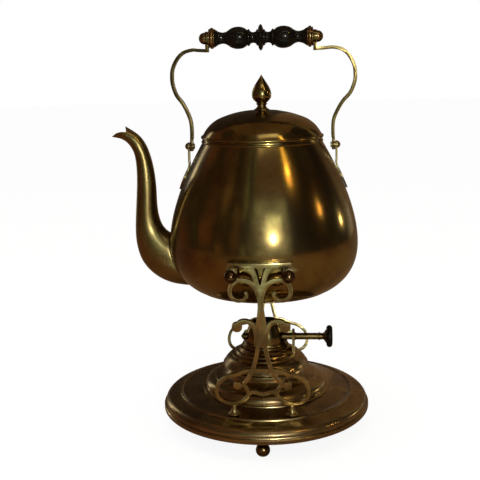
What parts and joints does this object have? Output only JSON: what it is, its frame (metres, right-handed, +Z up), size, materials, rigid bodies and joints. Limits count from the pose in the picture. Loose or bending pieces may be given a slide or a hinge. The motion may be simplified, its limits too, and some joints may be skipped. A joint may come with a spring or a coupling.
{
  "type": "spirit kettle on stand",
  "caption": "Brass kettle with spout, lift-off lid and swinging bail, hung on pins between scroll arms over a spirit lamp.",
  "frame": {"origin": "on the table under the middle of the base", "axes": "+Z up, the spout points along -X, the two arms stand at -Y (front) and +Y (back)"},
  "size_m": [0.2219, 0.2004, 0.3488],
  "materials": {
    "polished_brass": "polished and lacquer-free, with brown tarnish",
    "aged_brass": "tarnished brown, worn bright on the edges",
    "cast_brass": "cast, satin, greenish gold",
    "black_wood": "ebonised and polished",
    "cotton": "woven wick"
  },
  "bodies": {
    "stand": {"base_plate": "aged_brass", "ball_feet": "aged_brass", "lamp_seat": "aged_brass", "arm_studs": "cast_brass", "stud_screws": "aged_brass", "front_arm": "cast_brass", "back_arm": "cast_brass", "pivot_pins": "aged_brass", "rest_pins": "aged_brass"},
    "lamp": {"font_bowl": "aged_brass", "font_cap": "aged_brass", "burner_collar": "polished_brass", "burner_cone": "polished_brass", "winder_bosses": "aged_brass", "wick_tube": "aged_brass", "shaft_post": "cast_brass"},
    "wick": {"wick": "cotton"},
    "winder": {"winder_rod": "polished_brass", "spur_wheels": "aged_brass", "winder_ferrule": "aged_brass", "winder_knob": "black_wood"},
    "kettle": {"kettle_body": "polished_brass", "kettle_bottom": "aged_brass", "spout": "polished_brass", "neck_ring": "polished_brass", "front_bracket": "cast_brass", "back_bracket": "cast_brass", "left_ear": "cast_brass", "right_ear": "cast_brass", "bail_rivets": "cast_brass"},
    "lid": {"lid_dome": "polished_brass", "lid_flange": "aged_brass", "finial": "polished_brass", "finial_nut": "aged_brass"},
    "bail": {"left_strap": "cast_brass", "right_strap": "cast_brass", "grip_rod": "aged_brass", "ferrules": "aged_brass", "grip": "black_wood", "grip_nuts": "aged_brass"}
  },
  "joints": [
    {"name": "kettle_tilt", "type": "hinge", "parent": "stand", "child": "kettle", "pos_m": [-0.0225, 0, 0.15627], "axis": [0, -1, 0], "range_deg": [0, 45]},
    {"name": "lid_lift", "type": "slide", "parent": "kettle", "child": "lid", "axis": [0, 0, 1], "range_m": [0, 0.015]},
    {"name": "bail_swing", "type": "hinge", "parent": "kettle", "child": "bail", "pos_m": [0, 0, 0.248], "axis": [1, 0, 0], "range_deg": [-105, 105]},
    {"name": "lamp_lift", "type": "slide", "parent": "stand", "child": "lamp", "axis": [0, 0, 1], "range_m": [0, 0.015]},
    {"name": "winder_turn", "type": "hinge", "parent": "lamp", "child": "winder", "pos_m": [0.04, -0.004, 0.0784], "axis": [1, 0, 0], "range_deg": [-60, 120]},
    {"name": "wick_rise", "type": "slide", "parent": "lamp", "child": "wick", "axis": [0, 0, 1], "range_m": [-0.0027, 0.0053]}
  ],
  "couplings": [
    {"joint": "wick_rise", "follows": "winder_turn", "m_per_rad": 0.0024}
  ]
}
